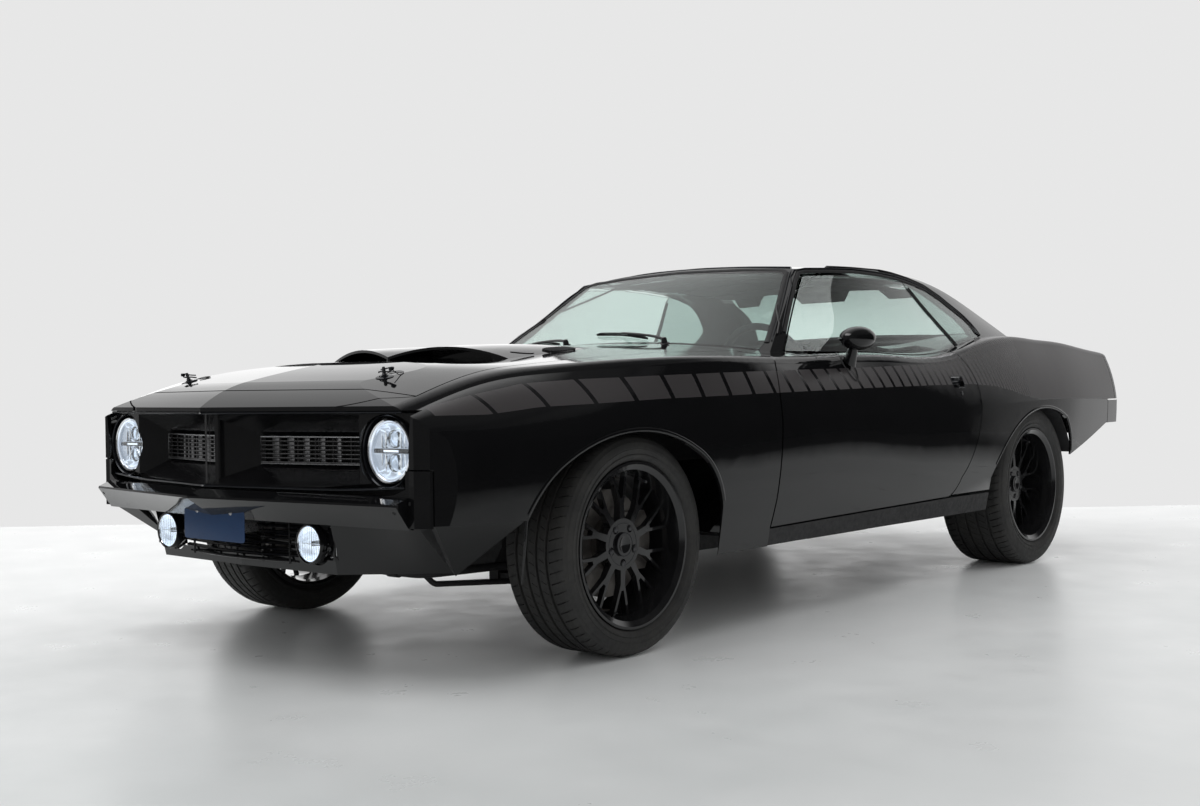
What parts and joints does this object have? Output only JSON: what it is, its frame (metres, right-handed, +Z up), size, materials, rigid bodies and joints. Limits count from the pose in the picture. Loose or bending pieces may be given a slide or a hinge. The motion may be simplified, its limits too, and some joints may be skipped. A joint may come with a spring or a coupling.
{
  "type": "two-door muscle car",
  "caption": "Black two-door hardtop muscle car with working doors, hood, trunk lid, steering and rolling wheels.",
  "frame": {"origin": "on the ground under the car's middle, midway along its length on the body's centre plane", "axes": "-Y points to the nose, +X to the left side of the car, +Z up"},
  "size_m": [1.9526, 4.742, 1.3037],
  "materials": {
    "black_paint": "deep gloss",
    "grille_black": "satin",
    "lamp": "bright",
    "tail_lens": "gloss",
    "window_glass": "clear, light green tint",
    "underbody_black": "satin",
    "brake_iron": "machined",
    "engine_iron": "painted, matt",
    "exhaust_steel": "satin",
    "tank_steel": "satin",
    "seat_vinyl": "grained",
    "dash_plastic": "grained",
    "rim_black": "satin black with a polished lip",
    "tyre_rubber": "matt"
  },
  "bodies": {
    "chassis": {"cowl": "black_paint", "dashboard": "dash_plastic", "engine_and_gearbox": "engine_iron", "exhaust": "exhaust_steel", "fixed_glass": "window_glass", "floor_structure": "underbody_black", "front_bumper": "black_paint", "front_inner_structure": "underbody_black", "front_lamps": "lamp", "front_seats": "seat_vinyl", "front_suspension": "underbody_black", "front_valance": "black_paint", "fuel_tank": "tank_steel", "grille": "grille_black", "header_panel": "black_paint", "leaf_springs": "underbody_black", "left_front_fender": "black_paint", "left_quarter_panel": "black_paint", "rear_axle": "underbody_black", "rear_bumper": "black_paint", "rear_deck": "black_paint", "rear_seat": "seat_vinyl", "right_front_fender": "black_paint", "right_quarter_panel": "black_paint", "roof": "black_paint", "tail_lamps": "tail_lens", "tail_panel": "black_paint"},
    "hood": {"hood": "black_paint"},
    "trunk_lid": {"trunk_lid": "black_paint"},
    "left_door": {"left_door": "black_paint", "left_door_glass": "window_glass", "left_mirror": "black_paint"},
    "right_door": {"right_door": "black_paint", "right_door_glass": "window_glass"},
    "left_knuckle": {"left_knuckle": "brake_iron"},
    "right_knuckle": {"right_knuckle": "brake_iron"},
    "steering_wheel": {"steering_wheel": "dash_plastic"},
    "left_front_wheel": {"left_front_wheel": "rim_black", "left_front_tyre": "tyre_rubber"},
    "right_front_wheel": {"right_front_wheel": "rim_black", "right_front_tyre": "tyre_rubber"},
    "left_rear_wheel": {"left_rear_wheel": "rim_black", "left_rear_tyre": "tyre_rubber"},
    "right_rear_wheel": {"right_rear_wheel": "rim_black", "right_rear_tyre": "tyre_rubber"}
  },
  "joints": [
    {"name": "hood_hinge", "type": "hinge", "parent": "chassis", "child": "hood", "pos_m": [0, -0.677, 0.966], "axis": [-1, 0, 0], "range_deg": [0, 50]},
    {"name": "trunk_hinge", "type": "hinge", "parent": "chassis", "child": "trunk_lid", "pos_m": [0, 1.65, 1.034], "axis": [1, 0, 0], "range_deg": [0, 75]},
    {"name": "left_door_hinge", "type": "hinge", "parent": "chassis", "child": "left_door", "pos_m": [0.928, -0.665, 0.6], "axis": [0, 0, -1], "range_deg": [0, 65]},
    {"name": "right_door_hinge", "type": "hinge", "parent": "chassis", "child": "right_door", "pos_m": [-0.928, -0.665, 0.6], "axis": [0, 0, 1], "range_deg": [0, 65]},
    {"name": "left_steer", "type": "hinge", "parent": "chassis", "child": "left_knuckle", "pos_m": [0.69, -1.414, 0.332], "axis": [0, 0, 1], "range_deg": [-30, 30]},
    {"name": "right_steer", "type": "hinge", "parent": "chassis", "child": "right_knuckle", "pos_m": [-0.69, -1.414, 0.332], "axis": [0, 0, 1], "range_deg": [-30, 30]},
    {"name": "steering_wheel_turn", "type": "hinge", "parent": "chassis", "child": "steering_wheel", "pos_m": [0.37, 0.04, 0.86], "axis": [0, 0.9272, 0.3746], "range_deg": [-420, 420]},
    {"name": "left_front_roll", "type": "hinge", "parent": "left_knuckle", "child": "left_front_wheel", "pos_m": [0.768, -1.414, 0.332], "axis": [1, 0, 0], "continuous": true},
    {"name": "right_front_roll", "type": "hinge", "parent": "right_knuckle", "child": "right_front_wheel", "pos_m": [-0.768, -1.414, 0.332], "axis": [1, 0, 0], "continuous": true},
    {"name": "left_rear_roll", "type": "hinge", "parent": "chassis", "child": "left_rear_wheel", "pos_m": [0.773, 1.329, 0.35], "axis": [1, 0, 0], "continuous": true},
    {"name": "right_rear_roll", "type": "hinge", "parent": "chassis", "child": "right_rear_wheel", "pos_m": [-0.773, 1.329, 0.35], "axis": [1, 0, 0], "continuous": true}
  ],
  "couplings": [
    {"joint": "right_steer", "follows": "left_steer", "ratio": 1},
    {"joint": "steering_wheel_turn", "follows": "left_steer", "ratio": 14}
  ]
}
